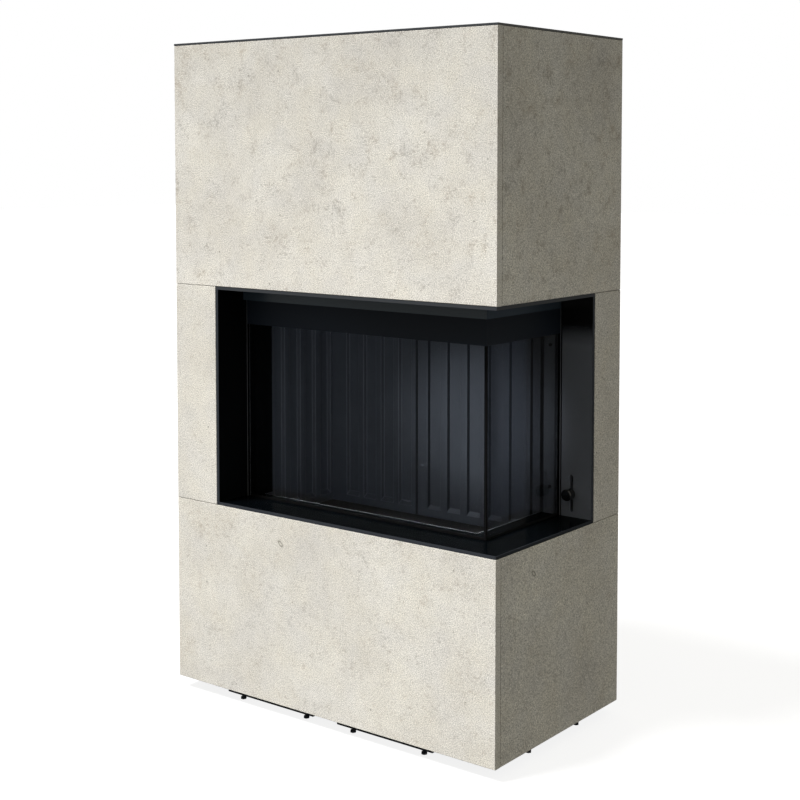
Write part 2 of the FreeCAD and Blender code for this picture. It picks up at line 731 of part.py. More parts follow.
# Air duct: runs from the box to a flat chamber behind the recess's rear wall
x_duct = x_jamb + duct_left_gap
x_duct_right = x_duct + duct_width
x_chamber = x_inner - chamber_side_gap
z_duct_top = z_body - body_wall
z_chamber = z_sill + chamber_rise
z_chamber_top = z_chamber + chamber_height
duct_outline = [
    (x_box, z_box), (x_duct_right, z_box), (x_duct_right, z_chamber), (x_chamber, z_chamber),
    (x_chamber, z_chamber_top), (x_duct, z_chamber_top), (x_duct, z_duct_top), (x_box, z_duct_top),
]
hollow_outline = [
    (x_box - cut, z_box + air_sheet), (x_duct_right - air_sheet, z_box + air_sheet),
    (x_duct_right - air_sheet, z_chamber + air_sheet), (x_chamber - air_sheet, z_chamber + air_sheet),
    (x_chamber - air_sheet, z_chamber_top - air_sheet), (x_duct + air_sheet, z_chamber_top - air_sheet),
    (x_duct + air_sheet, z_duct_top - air_sheet), (x_box - cut, z_duct_top - air_sheet),
]
duct_hollow = side_prism(hollow_outline, y_duct + air_sheet, y_duct_back - air_sheet)
pieces["air_box"] = air_box.cut(duct_hollow)
z_stem = z_slot + slot_length / 2
z_shutter = z_stem - shutter_stem_rise
windows = []
for step in range(2):
    z0 = z_stem + window_rise + window_pitch * step
    windows.append(box(
        x_slot - window_width / 2, x_slot + window_width / 2, y_wall, y_duct + air_sheet + cut,
        z0, z0 + window_height))
windows = Part.makeCompound(windows)
pieces["air_duct"] = side_prism(duct_outline, y_duct, y_duct_back).cut(duct_hollow).cut(windows)

# Shutter: a plate with two windows that slides in runners, moved by the knob's stem
y_shutter = y_duct - shutter_clearance - shutter_sheet
half_shutter = shutter_width / 2
shutter = box(
    x_slot - half_shutter, x_slot + half_shutter, y_shutter, y_shutter + shutter_sheet,
    z_shutter, z_shutter + shutter_height)
pieces["air_shutter"] = shutter.cut(windows)
y_runner = y_shutter - shutter_clearance - runner_sheet
runners = []
for side in (-1, 1):
    groove = x_slot + side * (half_shutter + shutter_clearance)
    lip_edge = x_slot + side * (half_shutter - runner_lip)
    outer = x_slot + side * (half_shutter + shutter_clearance + runner_lip)
    runners.append(prism([
        (outer, y_duct), (groove, y_duct), (groove, y_runner + runner_sheet),
        (lip_edge, y_runner + runner_sheet), (lip_edge, y_runner), (outer, y_runner),
    ], z_chamber, z_chamber_top))
pieces["shutter_guides"] = Part.makeCompound(runners)
y_knob = y_wall - knob_wall_gap
stem_end = y_knob - stem_seat
pieces["air_stem"] = rod(stem_radius, y_shutter - stem_end, V(x_slot, stem_end, z_stem), Y_AXIS)
knob = rod(knob_radius, knob_length, V(x_slot, y_knob - knob_length, z_stem), Y_AXIS)
rims = [edge for edge in knob.Edges if len(edge.Vertexes) == 1]
knob = knob.makeChamfer(knob_chamfer, rims)
pieces["air_knob"] = knob.cut(rod(
    stem_radius + stem_clearance, stem_seat + cut, V(x_slot, stem_end, z_stem), Y_AXIS))

os.makedirs("parts", exist_ok=True)
for name, shape in pieces.items():
    shape.exportStep(os.path.join("parts", name + ".step"))
    print(name, len(shape.Solids), "solid(s), valid", shape.isValid(), "volume", round(shape.Volume))
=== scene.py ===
import math
import bmesh
import bpy
from mathutils import Matrix, Vector


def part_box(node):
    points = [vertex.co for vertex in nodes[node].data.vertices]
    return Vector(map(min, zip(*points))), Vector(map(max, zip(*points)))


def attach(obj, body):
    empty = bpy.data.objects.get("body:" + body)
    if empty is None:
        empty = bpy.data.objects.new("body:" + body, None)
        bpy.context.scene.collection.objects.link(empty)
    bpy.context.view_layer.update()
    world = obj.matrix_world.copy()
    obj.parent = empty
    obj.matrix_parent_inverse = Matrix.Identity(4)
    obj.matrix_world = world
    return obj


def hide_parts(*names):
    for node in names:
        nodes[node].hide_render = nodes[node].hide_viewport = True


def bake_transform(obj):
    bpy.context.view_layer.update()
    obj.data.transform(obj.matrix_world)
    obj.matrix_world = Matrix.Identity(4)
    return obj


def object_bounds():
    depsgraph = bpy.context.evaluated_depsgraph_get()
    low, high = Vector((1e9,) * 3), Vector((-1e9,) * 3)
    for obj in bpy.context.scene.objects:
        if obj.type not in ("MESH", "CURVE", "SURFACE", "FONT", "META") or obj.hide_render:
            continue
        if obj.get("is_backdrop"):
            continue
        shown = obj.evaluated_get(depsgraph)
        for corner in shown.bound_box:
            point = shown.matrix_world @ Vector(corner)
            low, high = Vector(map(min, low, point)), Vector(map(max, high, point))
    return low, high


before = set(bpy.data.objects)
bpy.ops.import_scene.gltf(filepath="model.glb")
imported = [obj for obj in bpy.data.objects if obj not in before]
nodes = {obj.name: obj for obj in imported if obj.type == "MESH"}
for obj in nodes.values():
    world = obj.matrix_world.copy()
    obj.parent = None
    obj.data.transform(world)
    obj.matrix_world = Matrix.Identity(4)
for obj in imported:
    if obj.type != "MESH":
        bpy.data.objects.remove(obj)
cad_low, cad_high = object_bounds()

# Levelling feet: hexagon bolts of zinc-plated steel under the carcass, each locked by a nut.
# Rolled and plated, they have a dull grey sheen with a fine cloudy bloom of the plating.
mm = 0.001


def linear(code):
    """An sRGB hex colour as linear red, green, blue and full alpha."""
    channels = [int(code[i:i + 2], 16) / 255 for i in (1, 3, 5)]
    return [c / 12.92 if c <= 0.04045 else ((c + 0.055) / 1.055) ** 2.4 for c in channels] + [1]


def add(tree, kind, inputs, **settings):
    """A node with its settings, whose inputs are links where given sockets and constants elsewhere."""
    node = tree.nodes.new("ShaderNode" + kind)
    for name, value in settings.items():
        setattr(node, name, value)
    for name, value in inputs.items():
        if isinstance(value, bpy.types.NodeSocket):
            tree.links.new(value, node.inputs[name])
        else:
            node.inputs[name].default_value = value
    return node


def start_material(name):
    """A new material with its node tree, its shader and the place on the piece in metres."""
    material = bpy.data.materials.new(name)
    material.use_nodes = True
    tree = material.node_tree
    return material, tree, tree.nodes["Principled BSDF"], add(tree, "TexCoord", {}).outputs["Object"]


def finish_nodes(material, slot, *names):
    """Gives CAD nodes a finish; the record's slot that it stands for is passed but not used."""
    for name in names:
        for place in nodes[name].material_slots:
            place.material = material


plating_bloom = 6 * mm
zinc, tree, shader, place = start_material("zinc_plated_steel")
bloom = add(tree, "TexNoise", {"Vector": place, "Scale": 1 / plating_bloom, "Detail": 3}).outputs["Fac"]
colour = add(
    tree, "Mix", {"Factor": bloom, "A": linear("#3a3b3d"), "B": linear("#55575a")}, data_type="RGBA")
tree.links.new(colour.outputs["Result"], shader.inputs["Base Color"])
worn = add(tree, "MapRange", {"Value": bloom, "To Min": 0.32, "To Max": 0.5}).outputs["Result"]
tree.links.new(worn, shader.inputs["Roughness"])
shader.inputs["Metallic"].default_value = 1
finish_nodes(zinc, "fastener_steel", "levelling_feet", "lock_nuts", "pulley_axles", "air_stem")

# Carcass: flat-bar hoops, angle posts, the back sheet and the hidden sheets of the stove, welded and primed.
# The matte dark grey primer is sprayed on, so it shows a slight cloud and a fine dry grain.
spray_cloud = 180 * mm
spray_grain = 2.5 * mm
primer, tree, shader, place = start_material("sprayed_grey_primer")
cloud = add(tree, "TexNoise", {"Vector": place, "Scale": 1 / spray_cloud, "Detail": 4}).outputs["Fac"]
colour = add(
    tree, "Mix", {"Factor": cloud, "A": linear("#2c2d2e"), "B": linear("#393a3c")}, data_type="RGBA")
tree.links.new(colour.outputs["Result"], shader.inputs["Base Color"])
shader.inputs["Roughness"].default_value = 0.62
grain = add(tree, "TexNoise", {"Vector": place, "Scale": 1 / spray_grain, "Detail": 2}).outputs["Fac"]
bump = add(tree, "Bump", {"Height": grain, "Strength": 0.12, "Distance": 0.3 * mm})
tree.links.new(bump.outputs["Normal"], shader.inputs["Normal"])
finish_nodes(
    primer, "carcass_steel", "back_panel", "base_hoop", "sill_hoop", "lintel_hoop", "top_hoop",
    "carcass_posts", "pulley_brackets", "smoke_dome", "flue_collar", "insert_legs", "air_box",
    "air_duct", "air_shutter", "shutter_guides")

# Black steel: sheet for the recess, the door rail, the lid and the foot rails, folded and powder coated.
# The satin coat has a soft gloss with an orange-peel ripple, and its sheet edges are slightly round.
peel = 3 * mm
coat_cloud = 140 * mm
sheet_round = 0.6 * mm


def soften(name, width):
    """Rounds the sharp edges of a node for show."""
    weld = nodes[name].modifiers.new("joined", "WELD")
    weld.merge_threshold = 0.01 * mm
    bevel = nodes[name].modifiers.new("broken_edge", "BEVEL")
    bevel.width = width
    bevel.segments = 2
    bevel.limit_method = "ANGLE"
    bevel.harden_normals = True


lip_low, lip_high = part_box("reveal_shelf")
lip_highlight_depth = 1 * mm
painted_shade_from = 935 * mm
painted_shade_full = 985 * mm


def powder_coat(name, dark, light, rough_low, rough_high, specular, top_painted_shade=0.0):
    """A coat clouded between two colours, with a painted highlight on the opening's lip and, when asked,
    painted shade at its top.
    """
    material, tree, shader, place = start_material(name)
    cloud = add(tree, "TexNoise", {"Vector": place, "Scale": 1 / coat_cloud, "Detail": 3}).outputs["Fac"]
    colour = add(
        tree, "Mix", {"Factor": cloud, "A": linear(dark), "B": linear(light)}, data_type="RGBA"
    ).outputs["Result"]
    spot = add(tree, "SeparateXYZ", {"Vector": place})
    # Painted shade: given a top shade, the coat darkens to near black towards the top of the recess.
    ceiling_shade = add(tree, "MapRange", {
        "Value": spot.outputs["Z"], "From Min": painted_shade_from, "From Max": painted_shade_full,
        "To Max": top_painted_shade}).outputs["Result"]
    colour = add(
        tree, "Mix", {"Factor": ceiling_shade, "A": colour, "B": linear("#030304")}, data_type="RGBA"
    ).outputs["Result"]
    # Painted highlight: the faces of the opening's lip, at the front and right, are painted paler.
    front = add(tree, "Math", {0: spot.outputs["Y"], 1: lip_low.y + lip_highlight_depth}, operation="LESS_THAN")
    right = add(tree, "Math", {0: spot.outputs["X"], 1: lip_high.x - lip_highlight_depth}, operation="GREATER_THAN")
    lip_highlight = add(
        tree, "Math", {0: front.outputs["Value"], 1: right.outputs["Value"]}, operation="MAXIMUM"
    ).outputs["Value"]
    highlighted = add(tree, "Mix", {"Factor": lip_highlight, "A": colour, "B": linear("#34373c")}, data_type="RGBA")
    tree.links.new(highlighted.outputs["Result"], shader.inputs["Base Color"])
    rough = add(tree, "MapRange", {"Value": cloud, "To Min": rough_low, "To Max": rough_high})
    tree.links.new(rough.outputs["Result"], shader.inputs["Roughness"])
    shader.inputs["Specular IOR Level"].default_value = specular
    ripple = add(tree, "TexNoise", {"Vector": place, "Scale": 1 / peel, "Detail": 1}).outputs["Fac"]
    bump = add(tree, "Bump", {"Height": ripple, "Strength": 0.05, "Distance": 0.2 * mm})
    tree.links.new(bump.outputs["Normal"], shader.inputs["Normal"])
    return material


satin = powder_coat("satin_black_powder_coat", "#0a0c10", "#0f1217", 0.3, 0.4, 0.5)
finish_nodes(satin, "black_steel", "top_plate", "reveal_ceiling", "foot_rails")
gloss = powder_coat("gloss_black_powder_coat", "#020304", "#040608", 0.12, 0.18, 0.01)
finish_nodes(gloss, "black_steel", "reveal_shelf")
soften("reveal_shelf", sheet_round)
# The rear wall takes the painted shade at its top, where the recess ceiling shades it.
anthracite = powder_coat("anthracite_powder_coat", "#585c65", "#5f636c", 0.2, 0.3, 0.5, top_painted_shade=1.0)
finish_nodes(anthracite, "black_steel", "reveal_rear_wall")
slate = powder_coat("slate_powder_coat", "#3c4854", "#43505c", 0.2, 0.3, 0.5)
finish_nodes(slate, "black_steel", "lintel_mask")
strip_paint = powder_coat("grey_strip_paint", "#52565c", "#595d63", 0.2, 0.3, 0.5)
finish_nodes(strip_paint, "black_steel", "jamb_strip")
stove_paint = powder_coat("matte_black_stove_paint", "#040608", "#07090c", 0.5, 0.6, 0.06)
finish_nodes(
    stove_paint, "black_steel", "reveal_left_wall", "left_jamb", "firebox_header", "firebox_body")
finish_nodes(stove_paint, "fastener_steel", "jamb_screws")
rail_paint = powder_coat("matte_blue_black_door_paint", "#161c27", "#1a212c", 0.5, 0.6, 0.2)
finish_nodes(rail_paint, "black_steel", "door_top_rail")

# Door guides: channels folded from sheet and painted matte black, screwed to the recess walls.
# Thin grey lines on the tips of their flanges beside the panes are painted highlights.
tip = 0.3 * mm
left_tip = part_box("left_guide")[1].x - tip
rear_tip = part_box("rear_guide")[0].y + tip
for name, axis, side, edge in (
        ("left_guide", "X", "GREATER_THAN", left_tip), ("rear_guide", "Y", "LESS_THAN", rear_tip)):
    guide_paint, tree, shader, place = start_material("highlit_paint_of_" + name)
    cloud = add(tree, "TexNoise", {"Vector": place, "Scale": 1 / coat_cloud, "Detail": 3}).outputs["Fac"]
    colour = add(
        tree, "Mix", {"Factor": cloud, "A": linear("#040608"), "B": linear("#07090c")}, data_type="RGBA"
    ).outputs["Result"]
    spot = add(tree, "SeparateXYZ", {"Vector": place})
    # Painted highlight: a thin grey line on each flange's tip.
    highlight_band = add(tree, "Math", {0: spot.outputs[axis], 1: edge}, operation=side).outputs["Value"]
    highlighted = add(tree, "Mix", {"Factor": highlight_band, "A": colour, "B": linear("#63666b")}, data_type="RGBA")
    tree.links.new(highlighted.outputs["Result"], shader.inputs["Base Color"])
    shader.inputs["Roughness"].default_value = 0.55
    shader.inputs["Specular IOR Level"].default_value = 0.06
    finish_nodes(guide_paint, "black_steel", name)

# Hearth ledge: a flat steel frame round the fire pit, laid in loose and enamelled black.
# A thin pale line painted along its inner edge is a painted highlight.
ledge_low, ledge_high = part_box("hearth_frame")
ledge_front = 37.5 * mm
ledge_side = 47.5 * mm
highlight_width = 1.6 * mm
ledge_round = 0.8 * mm
enamel, tree, shader, place = start_material("black_enamel_with_painted_highlight")
mottle = add(tree, "TexNoise", {"Vector": place, "Scale": 1 / coat_cloud, "Detail": 3}).outputs["Fac"]
colour = add(
    tree, "Mix", {"Factor": mottle, "A": linear("#040608"), "B": linear("#07090c")}, data_type="RGBA"
).outputs["Result"]
spot = add(tree, "SeparateXYZ", {"Vector": place})
from_side = add(
    tree, "Math", {0: ledge_high.x - ledge_side, 1: spot.outputs["X"]}, operation="SUBTRACT"
).outputs["Value"]
from_front = add(
    tree, "Math", {0: spot.outputs["Y"], 1: ledge_low.y + ledge_front}, operation="SUBTRACT"
).outputs["Value"]
inside = add(tree, "Math", {0: from_side, 1: from_front}, operation="MINIMUM").outputs["Value"]
# Painted highlight: the thin band along the inner edge is painted pale steel grey.
highlight_band = add(tree, "Math", {0: inside, 1: -highlight_width}, operation="GREATER_THAN").outputs["Value"]
highlighted = add(tree, "Mix", {"Factor": highlight_band, "A": colour, "B": linear("#b8bcc0")}, data_type="RGBA")
tree.links.new(highlighted.outputs["Result"], shader.inputs["Base Color"])
shader.inputs["Roughness"].default_value = 0.2
shader.inputs["Specular IOR Level"].default_value = 0.01
finish_nodes(enamel, "black_steel", "hearth_frame")
soften("hearth_frame", ledge_round)

# Fire linings: fluted plates, hearth and baffle cast in black refractory, set in dry.
# Cast faces are charcoal with a fine sandy grain. Painted highlights lie on the rounded arrises and the back
# right plate's flute ends, painted shade on that plate's flute walls, and a painted shadow by the plates'
# joint beside the door.
grit = 2 * mm
cast_cloud = 90 * mm
arris_round = 1.6 * mm
joint_shadow_width = 6 * mm
# How far a normal turns outwards on a face, an arris and a flute's wall, and upwards on a flute's end.
face_turn = 0.97
arris_turn = 0.9
wall_turn = 0.4
steep_wall_turn = 0.3
ramp_turn = 0.66


def fired_refractory(name, dark, light, rough, outward, arris_highlight, wall_shade, ramp_highlight, shadow_from):
    """A cast plate clouded between two colours, with painted light and shade in given colours on arrises,
    flute walls, flute ends and beyond a joint.
    """
    material, tree, shader, place = start_material(name)
    cloud = add(tree, "TexNoise", {"Vector": place, "Scale": 1 / cast_cloud, "Detail": 5}).outputs["Fac"]
    colour = add(
        tree, "Mix", {"Factor": cloud, "A": linear(dark), "B": linear(light)}, data_type="RGBA"
    ).outputs["Result"]
    facing = place.node.outputs["Normal"]
    turned = add(tree, "VectorMath", {0: facing}, operation="ABSOLUTE").outputs["Vector"]
    turned = add(tree, "SeparateXYZ", {"Vector": turned})
    # Painted highlight on the arrises.
    edge = add(tree, "MapRange", {
        "Value": turned.outputs[outward], "From Min": arris_turn, "From Max": face_turn,
        "To Min": 1, "To Max": 0})
    upright = add(
        tree, "Math", {0: turned.outputs["Z"], 1: ramp_turn}, operation="LESS_THAN").outputs["Value"]
    edge = add(tree, "Math", {0: edge.outputs["Result"], 1: upright}, operation="MULTIPLY").outputs["Value"]
    colour = add(
        tree, "Mix", {"Factor": edge, "A": colour, "B": linear(arris_highlight)}, data_type="RGBA").outputs["Result"]
    # Painted shade on the flute walls.
    side = add(tree, "MapRange", {
        "Value": turned.outputs[outward], "From Min": steep_wall_turn, "From Max": wall_turn,
        "To Min": 1, "To Max": 0}).outputs["Result"]
    colour = add(
        tree, "Mix", {"Factor": side, "A": colour, "B": linear(wall_shade)}, data_type="RGBA").outputs["Result"]
    # Painted highlight on the upturned flute ends.
    end = add(tree, "Math", {0: 1.0, 1: upright}, operation="SUBTRACT").outputs["Value"]
    colour = add(
        tree, "Mix", {"Factor": end, "A": colour, "B": linear(ramp_highlight)}, data_type="RGBA").outputs["Result"]
    # Painted shadow: a dark band on the plate's edge at its joint.
    across = add(tree, "SeparateXYZ", {"Vector": place}).outputs["X"]
    beyond = add(tree, "Math", {0: across, 1: shadow_from}, operation="GREATER_THAN").outputs["Value"]
    colour = add(
        tree, "Mix", {"Factor": beyond, "A": colour, "B": linear("#050607")}, data_type="RGBA"
    ).outputs["Result"]
    tree.links.new(colour, shader.inputs["Base Color"])
    shader.inputs["Roughness"].default_value = rough
    sand = add(tree, "TexNoise", {"Vector": place, "Scale": 1 / grit, "Detail": 3}).outputs["Fac"]
    bump = add(tree, "Bump", {"Height": sand, "Strength": 0.08, "Distance": 0.2 * mm})
    tree.links.new(bump.outputs["Normal"], shader.inputs["Normal"])
    return material


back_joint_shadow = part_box("back_lining_left")[1].x - joint_shadow_width
no_joint_shadow = cad_high.x
for name, outward, arris_highlight, wall_shade, ramp_highlight, shadow_from in (
        ("left_lining", "X", "#5f646b", "#42464d", "#42464d", no_joint_shadow),
        ("back_lining_left", "Y", "#656a71", "#42464d", "#42464d", back_joint_shadow),
        ("back_lining_right", "Y", "#4a4f56", "#0b0c0e", "#595e65", no_joint_shadow)):
    charcoal = fired_refractory(
        "charcoal_refractory_of_" + name, "#3b3e45", "#484d54", 0.45, outward, arris_highlight, wall_shade, ramp_highlight, shadow_from)
    finish_nodes(charcoal, "lining_refractory", name)
    soften(name, arris_round)
# The hearth and baffle plates are cast in a darker shade of the refractory.
dark_fired = fired_refractory(
    "dark_refractory", "#050607", "#0a0b0d", 0.75, "Z", "#0a0b0d", "#050607", "#0a0b0d", no_joint_shadow)
finish_nodes(dark_fired, "lining_refractory", "hearth_plate", "baffle_plate")

# Air knob: a turned steel button on the shutter's stem, enamelled gloss black.
# The lathe's fine rings show through the enamel as a faint change of gloss.
knob_black, tree, shader, place = start_material("gloss_black_enamel")
shader.inputs["Base Color"].default_value = linear("#050607")
ring_pitch = 1.2 * mm
wave_unit = 0.314  # the length after which a wave texture of scale 1 repeats
knob_low, knob_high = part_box("air_knob")
knob_centre = (knob_low + knob_high) / 2
centred = add(tree, "Mapping", {"Vector": place, "Location": -knob_centre}).outputs["Vector"]
rings = add(
    tree, "TexWave", {"Vector": centred, "Scale": wave_unit / ring_pitch},
    wave_type="RINGS", rings_direction="Y")
rough = add(tree, "MapRange", {"Value": rings.outputs["Fac"], "To Min": 0.06, "To Max": 0.12})
tree.links.new(rough.outputs["Result"], shader.inputs["Roughness"])
shader.inputs["Coat Weight"].default_value = 0.6
finish_nodes(knob_black, "knob_metal", "air_knob")

# Door glass: two panes of clear heat-proof ceramic glass, 4 mm thick, with polished edges.
# They pass nearly all light, the side one a little less, and mirror the room through a faint film.
pane, tree, shader, place = start_material("ceramic_fire_glass")
shader.inputs["Base Color"].default_value = linear("#e4e6e8")
shader.inputs["Transmission Weight"].default_value = 1
shader.inputs["IOR"].default_value = 1.5
film_size = 220 * mm
film = add(tree, "TexNoise", {"Vector": place, "Scale": 1 / film_size, "Detail": 2}).outputs["Fac"]
rough = add(tree, "MapRange", {"Value": film, "To Min": 0.0, "To Max": 0.02})
tree.links.new(rough.outputs["Result"], shader.inputs["Roughness"])
finish_nodes(pane, "pane_glass", "front_glass")
smoked = pane.copy()
smoked.name = "ceramic_fire_glass_tinted"
smoked.node_tree.nodes["Principled BSDF"].inputs["Base Color"].default_value = linear("#b2b5ba")
finish_nodes(smoked, "pane_glass", "side_glass")
for name in ("front_glass", "side_glass"):
    nodes[name].visible_shadow = False

# Corner joint: black high-temperature silicone between the panes, tooled flush.
# Cured silicone is dull with a slight skin gloss and faint tooling marks along its length.
tool_mark = 25 * mm
silicone, tree, shader, place = start_material("black_silicone")
tooling = add(tree, "TexNoise", {"Vector": place, "Scale": 1 / tool_mark, "Detail": 2}).outputs["Fac"]
colour = add(
    tree, "Mix", {"Factor": tooling, "A": linear("#030304"), "B": linear("#060607")}, data_type="RGBA")
tree.links.new(colour.outputs["Result"], shader.inputs["Base Color"])
shader.inputs["Roughness"].default_value = 0.7
shader.inputs["Specular IOR Level"].default_value = 0.1
finish_nodes(silicone, "black_seal", "corner_seal")

# Foot seals: channels of the same silicone pushed on the panes' lower edges, clear of the guides.
# They are extruded, so each is one profile run out along its pane.
seal_wall = 0.55 * mm
seal_play = 0.05 * mm
seal_rise = 5 * mm
seal_end = 14 * mm


def foot_seal(name, near, far, start, end, foot, turn):
    """A channel round the edge of a pane that lies between two planes, from a start to an end along it."""
    shape = bmesh.new()
    profile = [
        (near - seal_wall, foot - seal_wall), (far + seal_wall, foot - seal_wall),
        (far + seal_wall, foot + seal_rise), (far + seal_play, foot + seal_rise),
        (far + seal_play, foot - seal_play), (near - seal_play, foot - seal_play),
        (near - seal_play, foot + seal_rise), (near - seal_wall, foot + seal_rise)]
    face = shape.faces.new([shape.verts.new((start, depth, height)) for depth, height in profile])
    drawn = bmesh.ops.extrude_face_region(shape, geom=[face])["geom"]
    moved = [item for item in drawn if isinstance(item, bmesh.types.BMVert)]
    bmesh.ops.translate(shape, verts=moved, vec=(end - start, 0, 0))
    if turn:
        swapped = Matrix(((0, 1, 0, 0), (1, 0, 0, 0), (0, 0, 1, 0), (0, 0, 0, 1)))
        bmesh.ops.transform(shape, matrix=swapped, verts=shape.verts)
    bmesh.ops.recalc_face_normals(shape, faces=shape.faces)
    mesh = bpy.data.meshes.new(name)
    shape.to_mesh(mesh)
    shape.free()
    mesh.materials.append(silicone)
    piece = bpy.data.objects.new(name, mesh)
    bpy.context.scene.collection.objects.link(piece)
    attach(piece, "door")


low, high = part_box("front_glass")
foot_seal("front_foot_seal", low.y, high.y, low.x + seal_end, high.x, low.z, False)
low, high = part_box("side_glass")
foot_seal("side_foot_seal", low.x, high.x, low.y, high.y - seal_end, low.z, True)

# Guide shoes: brass blocks on the ends of the door's rail, milled to run in the guides.
# Fine mill lines run along them and the brass has dulled a little.
mill_pitch = 1.5 * mm
brass, tree, shader, place = start_material("milled_brass")
lines = add(
    tree, "TexWave", {"Vector": place, "Scale": wave_unit / mill_pitch, "Distortion": 1.0},
    bands_direction="Z").outputs["Fac"]
colour = add(
    tree, "Mix", {"Factor": lines, "A": linear("#8f7440"), "B": linear("#b3945a")}, data_type="RGBA")
tree.links.new(colour.outputs["Result"], shader.inputs["Base Color"])
shader.inputs["Metallic"].default_value = 1
shader.inputs["Roughness"].default_value = 0.36
finish_nodes(brass, "shoe_brass", "left_shoe", "rear_shoe")

# Pulleys: grooved wheels turned from bare steel and lightly oiled, loose on fixed axles.
# Their faces carry the fine uneven marks of the turning.
turning = 2 * mm
bare_steel, tree, shader, place = start_material("turned_bare_steel")
turned = add(tree, "TexNoise", {"Vector": place, "Scale": 1 / turning, "Detail": 2}).outputs["Fac"]
colour = add(
    tree, "Mix", {"Factor": turned, "A": linear("#8d8f92"), "B": linear("#a9abad")}, data_type="RGBA")
tree.links.new(colour.outputs["Result"], shader.inputs["Base Color"])
shader.inputs["Metallic"].default_value = 1
shader.inputs["Roughness"].default_value = 0.34
finish_nodes(bare_steel, "pulley_steel", "left_pulley", "rear_pulley")

# Lift cables: galvanised wire rope of six strands, from a shoe over a pulley to a weight.
# Each is drawn as the bend on its wheel and two straight runs.
strands = 6
strand_lay = 18 * mm
lay_steps = 12
strand_depth_share = 0.16
galvanised, tree, shader, place = start_material("galvanised_wire_rope")
spangle = add(tree, "TexNoise", {"Vector": place, "Scale": 1 / turning, "Detail": 3}).outputs["Fac"]
colour = add(
    tree, "Mix", {"Factor": spangle, "A": linear("#6f7174"), "B": linear("#8b8d90")}, data_type="RGBA")
tree.links.new(colour.outputs["Result"], shader.inputs["Base Color"])
shader.inputs["Metallic"].default_value = 1
rough = add(tree, "MapRange", {"Value": spangle, "To Min": 0.35, "To Max": 0.5}).outputs["Result"]
tree.links.new(rough, shader.inputs["Roughness"])


def rope_end(radius, centre):
    """A mesh that holds only the rope's section, scalloped by its strands and level at a centre."""
    shape = bmesh.new()
    bmesh.ops.create_circle(shape, segments=strands * 2, radius=radius)
    shape.verts.ensure_lookup_table()
    valleys = [vert for vert in shape.verts if vert.index % 2]
    drawn_in = 1 - strand_depth_share
    bmesh.ops.scale(shape, verts=valleys, vec=(drawn_in, drawn_in, 1))
    bmesh.ops.translate(shape, verts=shape.verts, vec=centre)
    return shape


def rope_piece(name, shape):
    """The drawn rope closed at its ends, as a piece in galvanised wire."""
    bmesh.ops.holes_fill(shape, edges=[edge for edge in shape.edges if edge.is_boundary])
    bmesh.ops.recalc_face_normals(shape, faces=shape.faces)
    for face in shape.faces:
        face.smooth = len(face.verts) == 4
    mesh = bpy.data.meshes.new(name)
    shape.to_mesh(mesh)
    shape.free()
    mesh.materials.append(galvanised)
    piece = bpy.data.objects.new(name, mesh)
    bpy.context.scene.collection.objects.link(piece)
    return piece


def rope_run(name, radius, top, foot):
    """A straight run of rope down from a top, whose section turns once in each lay."""
    shape = rope_end(radius, top)
    drop = top.z - foot
    steps = round(drop / strand_lay * lay_steps)
    bmesh.ops.spin(
        shape, geom=shape.edges[:], cent=top, axis=(0, 0, 1), dvec=(0, 0, -drop / steps),
        angle=math.tau * drop / strand_lay, steps=steps)
    return rope_piece(name, shape)


bend_steps = 24
for side, wheel_axis in (("left", Vector((0, 1, 0))), ("rear", Vector((1, 0, 0)))):
    cable_low, cable_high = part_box(side + "_cable")
    wheel_low, wheel_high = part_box(side + "_pulley")
    wheel = (wheel_low + wheel_high) / 2
    thickness = min((cable_high - cable_low).x, (cable_high - cable_low).y)
    radius = thickness / 2
    reach = cable_high.z - radius - wheel.z
    outward = wheel_axis.cross(Vector((0, 0, 1))).normalized()
    door_top = wheel + reach * outward
    weight_top = wheel - reach * outward
    door_run = rope_run(side + "_rope_to_door", radius, door_top, cable_low.z)
    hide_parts(side + "_cable")
    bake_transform(door_run)
    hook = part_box(side + "_counterweight")[1].z
    weight_run = rope_run(side + "_rope_to_weight", radius, weight_top, hook)
    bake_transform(weight_run)
    bend = rope_end(radius, door_top)
    bmesh.ops.spin(
        bend, geom=bend.edges[:], cent=wheel, axis=wheel_axis, angle=-math.pi, steps=bend_steps)
    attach(rope_piece(side + "_rope_on_pulley", bend), "carcass")

# Counterweights: cast-iron bars that balance the door, rough from the mould and painted black.
# The casting skin is pebbled and the thin paint leaves it matte.
pebble = 4 * mm
cast_iron, tree, shader, place = start_material("painted_cast_iron")
skin = add(tree, "TexNoise", {"Vector": place, "Scale": 1 / pebble, "Detail": 4}).outputs["Fac"]
colour = add(
    tree, "Mix", {"Factor": skin, "A": linear("#2b2b2c"), "B": linear("#3c3c3d")}, data_type="RGBA")
tree.links.new(colour.outputs["Result"], shader.inputs["Base Color"])
shader.inputs["Roughness"].default_value = 0.75
bump = add(tree, "Bump", {"Height": skin, "Strength": 0.35, "Distance": 0.6 * mm})
tree.links.new(bump.outputs["Normal"], shader.inputs["Normal"])
finish_nodes(cast_iron, "weight_iron", "left_counterweight", "rear_counterweight")

# Cladding: large thin slabs of pale limestone-look sintered stone, bonded to the hoops.
# The face is matte and sandy, clouded at a hand's width, with darker sand gathered in loose
# drifts, a few pin holes and rare ring marks. The grain is drawn coarser than the real sand to show.
stone_cloud = 260 * mm
stone_hue = 90 * mm
stone_mottle = 36 * mm
stone_drift = 42 * mm
stone_fleck = 8 * mm
stone_grain = 2.5 * mm
pin_spacing = 34 * mm
pins_left_out = 0.84
ring_radius = 4 * mm
ring_width = 2.5 * mm
ring_stretch = 2.0
grain_depth = 0.5
mottle_depth = 0.06
slab_round = 0.8 * mm


